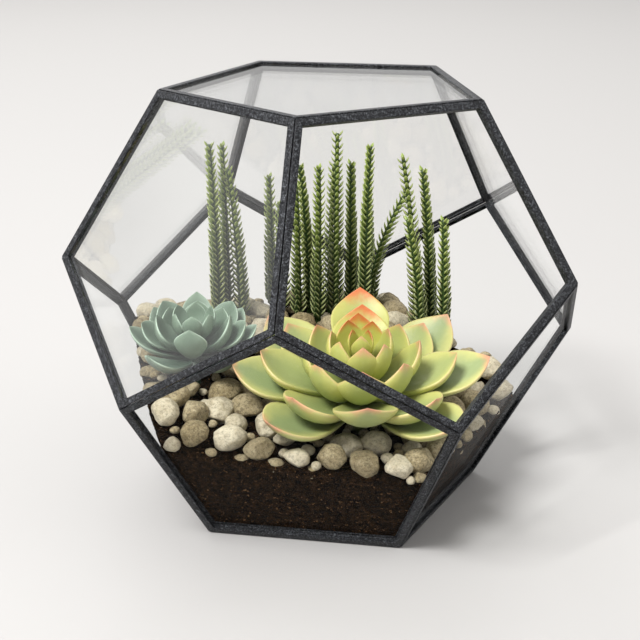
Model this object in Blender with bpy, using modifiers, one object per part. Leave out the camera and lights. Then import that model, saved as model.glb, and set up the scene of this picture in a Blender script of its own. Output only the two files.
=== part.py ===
"""A dodecahedral glass florarium, open on one side, planted with two rosettes and leafy stems.

Metres, +Z up. The origin is the centre of the face that the holder stands on, and the open face
looks towards -Y.
"""

import math
import random
from collections import namedtuple

import bmesh
import bpy
from mathutils import Matrix, Vector
from mathutils.bvhtree import BVHTree

MM = 0.001

# Holder: a regular dodecahedron, all of whose sizes follow from its edge
EDGE = 100 * MM
IN_RADIUS = EDGE / 2 * math.sqrt(5 / 2 + 11 / 10 * math.sqrt(5))
FACE_APOTHEM = EDGE / (2 * math.tan(math.radians(36)))
FACE_TILT = math.degrees(math.atan(0.5))
GAP = 0.3 * MM

# Metal strip round each face, in section: a channel whose slot takes the edge of the pane
STRIP_WIDTH = 4.2 * MM
STRIP_DEPTH = 4.4 * MM
LIP = 1.0 * MM
SLOT_INSET = 3.0 * MM
EDGE_BEVEL = 0.5 * MM
MITRE = 2 / (1 + math.sqrt(5))
MITRE_INSET = GAP / 2 / math.sin(math.atan(1 / MITRE))
MERGE_DISTANCE = 0.05 * MM
WELD_DISTANCE = 0.01 * MM

PANE_THICKNESS = 2.0 * MM
PANE_INSET = SLOT_INSET + GAP
SLOT_HEIGHT = PANE_THICKNESS + 2 * GAP

# Filling: soil up to a relief that is low along the two front faces, rises to the back and is
# banked against the left and right walls, and a bed of pebbles on it
FILL_INSET = STRIP_DEPTH + GAP
SOIL_LOW = 45 * MM
SOIL_RISE = 30 * MM
SOIL_LEAN = -0.055
FRONT_WALL = 98 * MM
FRONT_ROUND = 20 * MM
BACK_SHARE, BACK_LENGTH = 0.86, 112 * MM
BANK_WALL, BANK_START = 103 * MM, 26 * MM
LEFT_BANK, LEFT_BANK_WIDTH = 0.55, 35 * MM
RIGHT_BANK, RIGHT_BANK_WIDTH = 0.5, 30 * MM
NEST = (-2 * MM, -42 * MM)
NEST_DEPTH, NEST_WIDTH = 5.5 * MM, 36 * MM
BED_THICKNESS = 5.6 * MM
RELIEF_CELLS = 9
RELIEF_HALF_WIDTH = 140 * MM

BED_CEILING = 100 * MM
HOLE_RADIUS = 2.2 * MM
HOLE_SIDES = 8

PEBBLE_SEED = 1
PEBBLE_RADII = (10.0 * MM, 6.4 * MM)
PEBBLE_TRIES = 12000
PEBBLE_SPACING = 0.74
PEBBLE_SHAPE = (1.0, 0.88, 0.72)
PEBBLE_RISE = (-0.1, 0.1)
PEBBLE_REACH = 0.8
PEBBLE_TIP = 0.35
PEBBLE_FIELD = 125 * MM
STALK_CLEARANCE = 2

# Where the viewer of the open side stands: both rosettes lean that way, by degrees given below
FRONT_TURN = math.radians(-26.3)

# Whorls of a rosette from outside in: reach of the tips from the axis, their rise above the
# crown, leaf width, height of the leaf roots, how far the leaf bellies out and up on its way,
# how many degrees it leans beyond its rosette, number of leaves in the full ring, and which of
# them grow, counted from the front
Whorl = namedtuple("Whorl", "reach rise width root belly lift tilt count leaves")
LARGE_WHORLS = (
    Whorl(64.5, 0, 34, -23, 0.74, 0.10, 7, 8, range(1, 8)),
    Whorl(50, 5, 32, -20, 0.80, 0.10, 0, 8, range(8)),
    Whorl(29, 13, 26, -15, 0.95, 0.15, 0, 8, range(8)),
    Whorl(14.5, 18, 18, -9, 1.20, 0.30, 0, 7, range(7)),
    Whorl(4.5, 19, 10, -1, 1.60, 0.45, 0, 3, range(3)),
)
SMALL_WHORLS = (
    Whorl(33, 0, 16, -19, 0.75, 0.10, 9, 8, range(1, 8)),
    Whorl(27, 2.5, 17, -16, 0.82, 0.12, 18, 8, (2, 3, 5, 6)),
    Whorl(19, 7, 18, -13, 1.00, 0.10, 0, 8, (0, 2, 3, 4, 5, 6)),
    Whorl(10, 10.5, 11, -6, 1.20, 0.30, 0, 6, range(6)),
)
LEAF_STAGGER = 0.035
LEAF_THICKNESS = 4.6
LEAF_THICKNESS_SHARE = 0.18
LEAF_CUP = 0.13
LEAF_ROOT_RADIUS = 0.05
LEAF_STATIONS = (  # place along the leaf, shares of its width, thickness and cup
    (0.0, 0.26, 1.0, 1.0),
    (0.52, 0.96, 1.0, 0.9),
    (0.80, 0.80, 0.8, 0.5),
)
CORE_SIDES = 8

Rosette = namedtuple("Rosette", "crown lean whorls core stalk colour")
ROSETTES = {
    "rosette_large": Rosette((-4.5, -48.2, 88.6), 10, LARGE_WHORLS, 7.0, 4.2, "yellow_green"),
    "rosette_small": Rosette((-71, 12, 99), 4, SMALL_WHORLS, 4.0, 2.6, "grey_green"),
}

# Leafy stems: root in plan, then the tip
STEMS = (
    ((-33, 72), (-36, 72, 181)),
    ((-24, 80), (-25, 80, 178)),
    ((-18, 73), (-24, 75, 165)),
    ((8, 88), (7, 88, 155)),
    ((10, 77), (9, 78, 141)),
    ((14, 64), (13, 64, 154)),
    ((26, 74), (20, 74, 163)),
    ((23, 56), (24, 57, 165)),
    ((39, 73), (41, 72, 162)),
    ((36, 59), (36, 58, 183)),
    ((50, 67), (49, 66, 163)),
    ((51, 52), (54, 52, 175)),
    ((66, 74), (64, 72, 138)),
    ((60, 61), (83, 58, 146)),
    ((68, 20), (57, 20, 175)),
    ((79, 23), (71, 22, 166)),
    ((64, 8), (54, 8, 143)),
    ((79, 8), (77, 8, 140)),
)
STEM_CORE = 1.6 * MM
STEM_ROOT_DEPTH = 15 * MM
STEM_COLLAR = 2.2 * MM
WHORL_PITCH = 5.4 * MM
SCALE_REACH = (3.7 * MM, 2.3 * MM)
SCALE_SIDE = 0.72
SCALE_WAIST = 0.52
SCALE_RISES = (1.15, 0.55)
STEM_POINT = 0.2
STEM_BELLY = 0.45
STEM_SEED = 11

COLOURS = {
    "metal": ((0.035, 0.035, 0.040), 0.42, 1.0),
    "glass": ((0.90, 0.95, 0.93), 0.03, 0.0),
    "soil": ((0.050, 0.030, 0.020), 0.95, 0.0),
    "gravel": ((0.52, 0.46, 0.36), 0.85, 0.0),
    "yellow_green": ((0.52, 0.62, 0.18), 0.45, 0.0),
    "grey_green": ((0.28, 0.42, 0.32), 0.55, 0.0),
    "stem_green": ((0.12, 0.24, 0.05), 0.50, 0.0),
}


def clear_scene():
    """Remove the objects and collections that the file opens with."""
    for obj in list(bpy.data.objects):
        bpy.data.objects.remove(obj, do_unlink=True)
    for collection in list(bpy.data.collections):
        bpy.data.collections.remove(collection)


def new_collection(name):
    """A collection linked to the scene."""
    collection = bpy.data.collections.new(name)
    bpy.context.scene.collection.children.link(collection)
    return collection


def principled(name):
    """A plain material in one of the object's colours."""
    colour, roughness, metallic = COLOURS[name]
    material = bpy.data.materials.new(name)
    material.use_nodes = True
    shader = material.node_tree.nodes["Principled BSDF"]
    shader.inputs["Base Color"].default_value = (*colour, 1.0)
    shader.inputs["Roughness"].default_value = roughness
    shader.inputs["Metallic"].default_value = metallic
    return material


def mesh_object(name, mesh, collection, material=None):
    """An object for a mesh, in a collection."""
    obj = bpy.data.objects.new(name, mesh)
    collection.objects.link(obj)
    if material:
        mesh.materials.append(material)
    return obj


def mesh_from(bm, name):
    """A mesh with its faces turned outwards."""
    bmesh.ops.recalc_face_normals(bm, faces=bm.faces)
    mesh = bpy.data.meshes.new(name)
    bm.to_mesh(mesh)
    bm.free()
    return mesh


def loft(name, rings, tip=None):
    """A closed solid through rings of points, ending in a cap or in one tip point."""
    bm = bmesh.new()
    rows = [[bm.verts.new(point) for point in ring] for ring in rings]
    sides = len(rings[0])
    for lower, upper in zip(rows, rows[1:]):
        for k in range(sides):
            after = (k + 1) % sides
            bm.faces.new((lower[k], lower[after], upper[after], upper[k]))
    bm.faces.new(rows[0])
    if tip is None:
        bm.faces.new(rows[-1])
    else:
        point = bm.verts.new(tip)
        for k in range(sides):
            bm.faces.new((rows[-1][k], rows[-1][(k + 1) % sides], point))
    bmesh.ops.triangulate(bm, faces=bm.faces)
    return mesh_from(bm, name)


def boolean(target, operation, cutters, solver="MANIFOLD"):
    """Join or cut a solid with all the solids of a collection, and apply it."""
    modifier = target.modifiers.new("boolean", "BOOLEAN")
    modifier.operation = operation
    modifier.operand_type = "COLLECTION"
    modifier.collection = cutters
    modifier.solver = solver
    bpy.context.view_layer.update()
    shape = target.evaluated_get(bpy.context.evaluated_depsgraph_get())
    result = bpy.data.meshes.new_from_object(shape)
    target.modifiers.remove(modifier)
    result.name = target.name
    target.data = result


def keep_outer_shell(obj):
    """Fill hollows that a union has sealed and drop loose scraps: only the widest shell stays."""
    bm = bmesh.new()
    bm.from_mesh(obj.data)
    left = set(bm.verts)
    shells = []
    while left:
        shell = {left.pop()}
        fringe = list(shell)
        while fringe:
            near = {edge.other_vert(vert) for vert in fringe for edge in vert.link_edges}
            fringe = list(near & left)
            shell |= near
            left -= near
        shells.append(shell)
    shells.sort(key=len)
    scraps = [vert for shell in shells[:-1] for vert in shell]
    bmesh.ops.delete(bm, geom=scraps, context="VERTS")
    bm.to_mesh(obj.data)
    bm.free()


def weld_slivers(obj):
    """Merge points that a union has left almost on top of each other."""
    bm = bmesh.new()
    bm.from_mesh(obj.data)
    bmesh.ops.remove_doubles(bm, verts=bm.verts, dist=WELD_DISTANCE)
    bmesh.ops.dissolve_degenerate(bm, edges=bm.edges, dist=WELD_DISTANCE)
    bmesh.ops.triangulate(bm, faces=bm.faces)
    bm.to_mesh(obj.data)
    bm.free()


def empty_collection(collection):
    """Remove a working collection with its objects."""
    for obj in list(collection.objects):
        bpy.data.objects.remove(obj, do_unlink=True)
    bpy.data.collections.remove(collection)


def hide_cutter(obj):
    """Show a cutter as a wire frame, and leave it out of renders."""
    obj.hide_render = True
    obj.display_type = "WIRE"


# The holder

def face_pose(tilt, azimuth):
    """Pose of a face of the dodecahedron: local +Z out of it, local +X towards one corner."""
    rise, turn = math.radians(tilt), math.radians(azimuth)
    flat = Vector((math.cos(turn), math.sin(turn), 0))
    up = Vector((0, 0, 1))
    normal = flat * math.cos(rise) + up * math.sin(rise)
    corner = (flat * math.sin(rise) - up * math.cos(rise)) * math.copysign(1, tilt)
    across = normal.cross(corner)
    turned = Matrix((corner, across, normal)).transposed().to_4x4()
    centre = Vector((0, 0, IN_RADIUS)) + normal * IN_RADIUS
    return Matrix.Translation(centre) @ turned


def holder_faces():
    """Name, pose and whether it is glazed, for each of the twelve faces."""
    faces = [("top", face_pose(90, -126), True), ("bottom", face_pose(-90, -90), True)]
    for k in range(5):
        upper = face_pose(FACE_TILT, -90 + 72 * k)
        lower = face_pose(-FACE_TILT, -126 + 72 * k)
        faces.append((f"upper_{k}" if k else "mouth", upper, k > 0))
        faces.append((f"lower_{k + 1}", lower, True))
    return faces


def corner_radius(inset):
    """Distance from a face's centre to the corner of a pentagon inset from its edges."""
    return (FACE_APOTHEM - inset) / math.cos(math.radians(36))


def turned_pentagon(name, profile, closed, collection, material):
    """A five-sided solid: a profile of (inset, depth) points turned in five steps about Z."""
    bm = bmesh.new()
    points = []
    for inset, depth in profile:
        radius = 0 if inset is None else corner_radius(inset)
        points.append(bm.verts.new((radius, 0, -depth)))
    for first, second in zip(points, points[1:]):
        bm.edges.new((first, second))
    if closed:
        bm.edges.new((points[-1], points[0]))
    mesh = bpy.data.meshes.new(name)
    bm.to_mesh(mesh)
    bm.free()
    obj = mesh_object(name, mesh, collection, material)
    screw = obj.modifiers.new("five sides", "SCREW")
    screw.axis = "Z"
    screw.angle = math.radians(360)
    screw.steps = 5
    screw.render_steps = 5
    screw.use_merge_vertices = True
    screw.merge_threshold = MERGE_DISTANCE
    screw.use_smooth_shade = False
    return obj


def mitre_inset(depth):
    """Inset of the mitred outer side of a strip at a depth below the face."""
    return MITRE_INSET + MITRE * depth


def strip_profile(glazed):
    """Section of a strip, from its outer corner down the mitred side and round."""
    outer = [
        (mitre_inset(0) + EDGE_BEVEL, 0),
        (mitre_inset(EDGE_BEVEL), EDGE_BEVEL),
        (mitre_inset(STRIP_DEPTH), STRIP_DEPTH),
        (STRIP_WIDTH, STRIP_DEPTH),
    ]
    slot = [
        (STRIP_WIDTH, LIP + SLOT_HEIGHT),
        (SLOT_INSET, LIP + SLOT_HEIGHT),
        (SLOT_INSET, LIP),
        (STRIP_WIDTH, LIP),
    ]
    return outer + (slot if glazed else []) + [(STRIP_WIDTH, 0)]


def pane_profile():
    """Section of a pane, from its outer face down its edge."""
    top = LIP + GAP
    bottom = top + PANE_THICKNESS
    return [(None, top), (PANE_INSET, top), (PANE_INSET, bottom), (None, bottom)]


def make_holder(parts, materials):
    """Twelve strip frames and the eleven panes in them."""
    for name, pose, glazed in holder_faces():
        frame = turned_pentagon(
            f"frame_{name}", strip_profile(glazed), True, parts, materials["metal"])
        frame.matrix_world = pose
        if glazed:
            pane = turned_pentagon(
                f"glass_{name}", pane_profile(), False, parts, materials["glass"])
            pane.matrix_world = pose


# The filling

def smooth_step(share):
    """Rise from 0 to 1 that starts and ends level."""
    share = min(max(share, 0), 1)
    return share * share * (3 - 2 * share)


def reach_towards(x, y, azimuth):
    """How far a point lies from the middle, towards an azimuth."""
    turn = math.radians(azimuth)
    return x * math.cos(turn) + y * math.sin(turn)


def soil_height(x, y):
    """Height of the soil's surface."""
    left, right = reach_towards(x, y, -126), reach_towards(x, y, -54)
    inward = FRONT_WALL - (left + right + math.hypot(left - right, FRONT_ROUND)) / 2
    rise = 1 - BACK_SHARE * smooth_step(inward / BACK_LENGTH)
    banks = ((162, LEFT_BANK, LEFT_BANK_WIDTH), (18, RIGHT_BANK, RIGHT_BANK_WIDTH))
    for azimuth, share, width in banks:
        away = (BANK_WALL - reach_towards(x, y, azimuth)) / width
        rise *= 1 - share * smooth_step(inward / BANK_START) * math.exp(-away * away)
    nest = NEST_DEPTH * math.exp(-((x - NEST[0]) ** 2 + (y - NEST[1]) ** 2) / NEST_WIDTH ** 2)
    return SOIL_LOW + SOIL_RISE * (1 - rise) + SOIL_LEAN * x - nest


def bed_top(x, y):
    """Height of the top of the pebble bed."""
    return soil_height(x, y) + GAP + BED_THICKNESS


def room_inside(point):
    """Distance from a point to the nearest face of the dodecahedron."""
    offset = point - Vector((0, 0, IN_RADIUS))
    normals = [pose.to_3x3().col[2] for name, pose, glazed in holder_faces()]
    return IN_RADIUS - max(offset.dot(normal) for normal in normals)


def lower_room(name, collection, inset, low, high):
    """The space between the five lower faces, from one height to another."""
    cosine = math.cos(math.radians(FACE_TILT))
    sine = math.sin(math.radians(FACE_TILT))

    def radius(z):
        apothem = (IN_RADIUS - inset + sine * (z - IN_RADIUS)) / cosine
        return apothem / math.cos(math.radians(36))

    bpy.ops.mesh.primitive_cone_add(
        vertices=5, radius1=radius(low), radius2=radius(high), depth=high - low,
        location=(0, 0, (low + high) / 2), rotation=(0, 0, math.pi))
    obj = bpy.context.object
    obj.name = name
    bpy.context.scene.collection.objects.unlink(obj)
    collection.objects.link(obj)
    return obj


def relief_slab(name, collection, low, high, material=None):
    """A slab between two surfaces that are given as functions of x and y."""
    bm = bmesh.new()
    bmesh.ops.create_grid(
        bm, x_segments=RELIEF_CELLS, y_segments=RELIEF_CELLS, size=RELIEF_HALF_WIDTH)
    bottom = list(bm.verts)
    raised = bmesh.ops.extrude_face_region(bm, geom=list(bm.faces))["geom"]
    top = [element for element in raised if isinstance(element, bmesh.types.BMVert)]
    for vert in top:
        vert.co.z = high(vert.co.x, vert.co.y)
    for vert in bottom:
        vert.co.z = low(vert.co.x, vert.co.y)
    bmesh.ops.triangulate(bm, faces=bm.faces)
    return mesh_object(name, mesh_from(bm, name), collection, material)


def hole_cutters():
    """Plain holes for every stem and stalk, through the pebble bed into the soil."""
    cutters = new_collection("cutters")
    holes = [(x * MM, y * MM, HOLE_RADIUS) for (x, y), tip in STEMS]
    for rosette in ROSETTES.values():
        x, y, z = rosette_foot(rosette)
        holes.append((x, y, rosette.stalk * MM + GAP * 2))
    for k, (x, y, radius) in enumerate(holes):
        low = soil_height(x, y) - STEM_ROOT_DEPTH - GAP
        bpy.ops.mesh.primitive_cylinder_add(
            vertices=HOLE_SIDES, radius=radius, depth=BED_CEILING - low,
            location=(x, y, (low + BED_CEILING) / 2))
        cutter = bpy.context.object
        cutter.name = f"hole_{k + 1:02d}"
        bpy.context.scene.collection.objects.unlink(cutter)
        cutters.objects.link(cutter)
        hide_cutter(cutter)
    return cutters


def make_soil(parts, material, cutters):
    """Soil pressed into the lower half of the holder."""
    room = new_collection("soil room")
    lower_room("soil room", room, FILL_INSET, FILL_INSET, BED_CEILING)
    soil = relief_slab("soil", parts, lambda x, y: 0, soil_height, material)
    boolean(soil, "INTERSECT", room)
    boolean(soil, "DIFFERENCE", cutters)
    empty_collection(room)


def stem_axis(root, tip, share):
    """Point on a stem's axis: upright at the root, leaning to its tip."""
    (x, y), (tip_x, tip_y, tip_z) = root, tip
    start = Vector((x * MM, y * MM, bed_top(x * MM, y * MM) + STEM_COLLAR))
    end = Vector((tip_x, tip_y, tip_z)) * MM
    belly = Vector((start.x, start.y, start.z + STEM_BELLY * (end.z - start.z)))
    return start * (1 - share) ** 2 + belly * 2 * share * (1 - share) + end * share ** 2


def stem_points():
    """Points along every stem, from the bed up to where pebbles can reach."""
    points = []
    for root, tip in STEMS:
        points += [stem_axis(root, tip, step / 20) for step in range(5)]
    return points


def surface_tree(obj):
    """A tree that finds the nearest point on an object's surface."""
    bm = bmesh.new()
    bm.from_mesh(obj.data)
    tree = BVHTree.FromBMesh(bm)
    bm.free()
    return tree


def pebble_layout(rosettes):
    """Centres and radii of the pebbles: large ones first, then smaller ones between them."""
    rng = random.Random(PEBBLE_SEED)
    stems = stem_points()
    trees = [surface_tree(rosette) for rosette in rosettes]
    feet = [rosette_foot(rosette) for rosette in ROSETTES.values()]
    placed = []
    for k in range(PEBBLE_TRIES):
        radius = PEBBLE_RADII[0] + (PEBBLE_RADII[1] - PEBBLE_RADII[0]) * k / PEBBLE_TRIES
        x = rng.uniform(-PEBBLE_FIELD, PEBBLE_FIELD)
        y = rng.uniform(-PEBBLE_FIELD, PEBBLE_FIELD)
        centre = Vector((x, y, bed_top(x, y) + rng.uniform(*PEBBLE_RISE) * radius))
        if room_inside(centre) < PEBBLE_REACH * radius + FILL_INSET:
            continue
        if any((centre - other).length < PEBBLE_SPACING * (radius + size) for other, size in placed):
            continue
        if any((centre - point).length < radius + SCALE_REACH[0] + GAP for point in stems):
            continue
        if any((centre - foot).xy.length < STALK_CLEARANCE * radius for foot in feet):
            continue
        if any(tree.find_nearest(centre)[3] < radius + GAP for tree in trees):
            continue
        placed.append((centre, radius))
    return placed


def make_gravel(parts, material, cutters, rosettes):
    """A thin bed with every pebble fused to it, trimmed clear of the soil and the glass."""
    gravel = relief_slab("gravel", parts, soil_height, bed_top, material)
    pebbles = new_collection("pebbles")
    rng = random.Random(PEBBLE_SEED + 1)
    for centre, radius in pebble_layout(rosettes):
        bm = bmesh.new()
        bmesh.ops.create_icosphere(bm, subdivisions=1, radius=radius)
        flat = Matrix.Diagonal((*PEBBLE_SHAPE, 1))
        turn = Matrix.Rotation(rng.uniform(0, math.tau), 4, "Z")
        tip = Matrix.Rotation(rng.uniform(-PEBBLE_TIP, PEBBLE_TIP), 4, "X")
        bm.transform(Matrix.Translation(centre) @ turn @ tip @ flat)
        mesh_object("pebble", mesh_from(bm, "pebble"), pebbles)
    boolean(gravel, "UNION", pebbles, solver="EXACT")
    empty_collection(pebbles)
    room = new_collection("bed room")
    lower_room("bed room", room, FILL_INSET, FILL_INSET, BED_CEILING)
    space = new_collection("bed space")
    above_soil = relief_slab(
        "above soil", space, lambda x, y: soil_height(x, y) + GAP, lambda x, y: BED_CEILING)
    boolean(above_soil, "INTERSECT", room)
    boolean(gravel, "INTERSECT", space)
    empty_collection(room)
    empty_collection(space)
    boolean(gravel, "DIFFERENCE", cutters)
    keep_outer_shell(gravel)
    weld_slivers(gravel)


# The rosettes

def rosette_pose(rosette):
    """Pose of a rosette: its crown leans towards the open side."""
    turn = Matrix.Rotation(FRONT_TURN, 4, "Z")
    lean = Matrix.Rotation(math.radians(rosette.lean), 4, "X")
    return Matrix.Translation(Vector(rosette.crown) * MM) @ turn @ lean


def rosette_foot(rosette):
    """Where the rosette's stalk bends down into the bed."""
    return rosette_pose(rosette) @ Vector((0, 0, rosette.whorls[0].root * MM))


def leaf_rings(whorl):
    """Sections of one leaf that points along +X, and its tip."""
    start = Vector((LEAF_ROOT_RADIUS * whorl.reach, 0, whorl.root))
    end = Vector((whorl.reach, 0, whorl.rise))
    belly = Vector((whorl.belly * whorl.reach, 0, whorl.root + whorl.lift * (whorl.rise - whorl.root)))
    rings = []
    for share, wide, thick, cupped in LEAF_STATIONS:
        centre = start * (1 - share) ** 2 + belly * 2 * share * (1 - share) + end * share ** 2
        along = (belly - start) * (1 - share) + (end - belly) * share
        inner = Vector((-along.z, 0, along.x)).normalized()
        half = Vector((0, whorl.width * wide / 2, 0))
        depth = min(LEAF_THICKNESS, LEAF_THICKNESS_SHARE * whorl.width) * thick
        cup = inner * LEAF_CUP * whorl.width * wide * cupped
        rings.append((centre - half + cup, centre - inner * depth, centre + half + cup, centre))
    return rings, end


def make_rosette(name, rosette, parts, material):
    """Whorls of leaves fused on a short core, with a stalk that stands in the soil."""
    pose = rosette_pose(rosette)
    millimetres = Matrix.Scale(MM, 4)
    leaves = new_collection(f"{name} leaves")
    for whorl in rosette.whorls:
        tilted = pose @ millimetres @ Matrix.Rotation(math.radians(whorl.tilt), 4, "X")
        for k in whorl.leaves:
            rings, tip = leaf_rings(whorl)
            mesh = loft("leaf", rings, tip)
            turn = Matrix.Rotation(math.tau * k / whorl.count - math.tau / 4, 4, "Z")
            stagger = LEAF_STAGGER * whorl.reach * (1 if k % 2 else -1)
            mesh.transform(tilted @ turn @ Matrix.Translation((0, 0, -stagger)))
            mesh_object("leaf", mesh, leaves)
    foot = rosette_foot(rosette)
    stalk = rosette.stalk * MM
    core = rosette.core
    root = rosette.whorls[0].root
    rings = []
    for height, radius in ((core, core / 2), (0, core), (root, core)):
        rings.append(flat_ring(pose @ Vector((0, 0, height * MM)), radius * MM, CORE_SIDES))
    collar = bed_top(foot.x, foot.y) + 2 * GAP
    rings.append(flat_ring(Vector((foot.x, foot.y, collar)), stalk, CORE_SIDES))
    bottom = soil_height(foot.x, foot.y) - STEM_ROOT_DEPTH
    rings.append(flat_ring(Vector((foot.x, foot.y, bottom)), stalk, CORE_SIDES))
    body = mesh_object(name, loft(name, rings), parts, material)
    boolean(body, "UNION", leaves)
    empty_collection(leaves)
    keep_outer_shell(body)
    return body


def flat_ring(centre, radius, sides, start=0.0):
    """Points on a level circle."""
    angles = [start + math.tau * k / sides for k in range(sides)]
    return [centre + Vector((math.cos(a), math.sin(a), 0)) * radius for a in angles]


# The leafy stems

def scale_ring(centre, along, reaches, rises, turn):
    """Four points round a stem's axis, each with its own reach and rise."""
    across = Vector((1, 0, 0))
    side = along.cross(across).normalized()
    across = side.cross(along).normalized()
    ring = []
    for k in range(4):
        angle = turn + math.tau * k / 4
        out = across * math.cos(angle) + side * math.sin(angle)
        ring.append(centre + out * reaches[k] + along * rises[k])
    return ring


def make_stem(name, root, tip, turn, parts, material):
    """A slim stem with pairs of pointed scale leaves, each pair turned from the last."""
    length = (stem_axis(root, tip, 1) - stem_axis(root, tip, 0)).length
    count = round(length / WHORL_PITCH)
    start = stem_axis(root, tip, 0)
    bottom = soil_height(start.x, start.y) - STEM_ROOT_DEPTH
    up = Vector((0, 0, 1))
    even = (STEM_CORE,) * 4
    level = (0,) * 4
    rings = [scale_ring(Vector((start.x, start.y, bottom)), up, even, level, turn)]
    for k in range(count):
        share = k / count
        here = stem_axis(root, tip, share)
        ahead = stem_axis(root, tip, share + 1 / count)
        along = (ahead - here).normalized()
        reach = SCALE_REACH[0] + (SCALE_REACH[1] - SCALE_REACH[0]) * share
        waist = SCALE_WAIST * reach
        rings.append(scale_ring(here, along, (waist,) * 4, level, turn))
        leafy = [reach if (k + j) % 2 else reach * SCALE_SIDE for j in range(4)]
        raised = [WHORL_PITCH * SCALE_RISES[(k + j + 1) % 2] for j in range(4)]
        rings.append(scale_ring(here, along, leafy, raised, turn))
    end = stem_axis(root, tip, 1)
    mesh = loft(name, rings, end + up * WHORL_PITCH * STEM_POINT)
    mesh_object(name, mesh, parts, material)


def main():
    """Build every piece of the florarium."""
    clear_scene()
    parts = new_collection("florarium")
    materials = {name: principled(name) for name in COLOURS}
    make_holder(parts, materials)
    cutters = hole_cutters()
    make_soil(parts, materials["soil"], cutters)
    rosettes = [
        make_rosette(name, rosette, parts, materials[rosette.colour])
        for name, rosette in ROSETTES.items()
    ]
    make_gravel(parts, materials["gravel"], cutters, rosettes)
    rng = random.Random(STEM_SEED)
    for k, (root, tip) in enumerate(STEMS):
        turn = rng.uniform(0, math.tau / 4)
        make_stem(f"stem_{k + 1:02d}", root, tip, turn, parts, materials["stem_green"])


main()
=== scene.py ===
"""The looks of the florarium: patinated strips, clear panes, damp soil, pebbles and succulents.

Lengths are in metres. Those of whorls, leaves, rosettes and the ends of stems are in millimetres, and
MM turns them into metres.
"""

import math
import random
from collections import namedtuple

import bmesh
import bpy
from bpy.props import FloatProperty, FloatVectorProperty, IntProperty, PointerProperty
from mathutils import Matrix, Vector, noise
from mathutils.bvhtree import BVHTree


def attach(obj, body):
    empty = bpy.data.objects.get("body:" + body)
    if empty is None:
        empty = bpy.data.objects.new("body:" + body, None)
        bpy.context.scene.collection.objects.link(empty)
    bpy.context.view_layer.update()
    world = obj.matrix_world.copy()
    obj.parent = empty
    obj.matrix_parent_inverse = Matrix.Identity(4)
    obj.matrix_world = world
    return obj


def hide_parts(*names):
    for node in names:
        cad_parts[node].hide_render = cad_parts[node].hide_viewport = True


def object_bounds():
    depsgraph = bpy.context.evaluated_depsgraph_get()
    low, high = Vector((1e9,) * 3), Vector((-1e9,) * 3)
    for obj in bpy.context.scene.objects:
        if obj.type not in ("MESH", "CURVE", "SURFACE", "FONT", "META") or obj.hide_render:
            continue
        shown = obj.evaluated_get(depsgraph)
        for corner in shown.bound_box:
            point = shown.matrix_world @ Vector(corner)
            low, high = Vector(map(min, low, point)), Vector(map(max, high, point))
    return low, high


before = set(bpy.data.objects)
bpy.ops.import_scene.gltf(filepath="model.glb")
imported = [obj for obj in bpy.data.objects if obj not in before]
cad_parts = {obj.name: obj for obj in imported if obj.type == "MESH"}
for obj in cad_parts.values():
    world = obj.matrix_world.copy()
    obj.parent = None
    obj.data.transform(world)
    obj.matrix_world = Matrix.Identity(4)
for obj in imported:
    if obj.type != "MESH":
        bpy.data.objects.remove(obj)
CAD_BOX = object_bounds()

bl_info = {
    "name": "Florarium looks",
    "version": (1, 0, 0),
    "blender": (4, 5, 0),
    "location": "3D View > Sidebar > Florarium",
    "description": "Dresses the florarium's frame with its finishes, soil, pebbles and plants",
    "category": "Object",
}

MM = 0.001

# Holder: a regular dodecahedron that stands on a face
IN_RADIUS = (CAD_BOX[1][2] - CAD_BOX[0][2]) / 2
FACE_TILT = math.atan(0.5)
FACES_AROUND = 5
UPPER_AZIMUTH, LOWER_AZIMUTH = -90, -126
PANE_FACE = 3.4 * MM
ARRIS = 0.3 * MM
ARRIS_STEPS = 2
SMOOTH_ANGLE = math.radians(35)
MERGE_DISTANCE = 0.01 * MM
FLAT_ANGLE = math.radians(1)
GLAZE_POWER = 4

# Soil, by the same rules as in the solids
GAP = 0.3 * MM
FILL_INSET = 4.7 * MM
FRONT_AZIMUTHS = (-126, -54)
SOIL_LOW = 45 * MM
SOIL_RISE = 30 * MM
SOIL_LEAN = -0.055
FRONT_WALL = 98 * MM
FRONT_ROUND = 20 * MM
BACK_SHARE, BACK_LENGTH = 0.86, 112 * MM
BANK_WALL, BANK_START = 103 * MM, 26 * MM
BANKS = ((162, 0.55, 35 * MM), (18, 0.5, 30 * MM))  # azimuth, share of the rise, width
NEST = (-2 * MM, -42 * MM)
NEST_DEPTH, NEST_WIDTH = 5.5 * MM, 36 * MM
BED_THICKNESS = 5.6 * MM

# The soil's surface, roughened only here
SOIL_VOXEL = 1.3 * MM
SOIL_LUMPS = ((1, 260), (0.5, 620))  # share and noise scale
LUMP_SHARE, LUMP_LIFT = 0.5, 0.3

# Large pebbles, by the same rules as in the solids
PEBBLE_SEED = 1
PEBBLE_RADII = (10.0 * MM, 6.4 * MM)
PEBBLE_TRIES = 12000
PEBBLE_SPACING = 0.74
PEBBLE_SHAPE = (1.0, 0.88, 0.72)
PEBBLE_RISE = (-0.1, 0.1)
PEBBLE_REACH = 0.8
PEBBLE_TIP = 0.35
PEBBLE_FIELD = 125 * MM
STALK_CLEARANCE = 2
STEM_SHARES = (0, 0.05, 0.10, 0.15, 0.20)

# Pebbles that only the looks have, first those pressed against the panes
PRESSED_SHARE = 0.4
PRESSED_RADII = (9.0 * MM, 5.0 * MM)
PRESSED_RISE = (-0.45, 0.7)
PRESSED_ROOM, PRESSED_CONTACT = 1.6, 0.86
LOOSE_RISE = (0.5, 1.4)
SMALLNESS = 0.6
SPACING_TO_LARGE, SPACING_TO_SMALL = 0.78, 0.84
SMALL_STEM_SHARES = (0, 0.05, 0.10)
STEM_ROOM = 1.6 * MM
STALK_SHARE, STALK_ROOM = 1.5, 3 * MM
LEAF_ROOM = 0.9
PANE_CONTACT = 0.98

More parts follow.
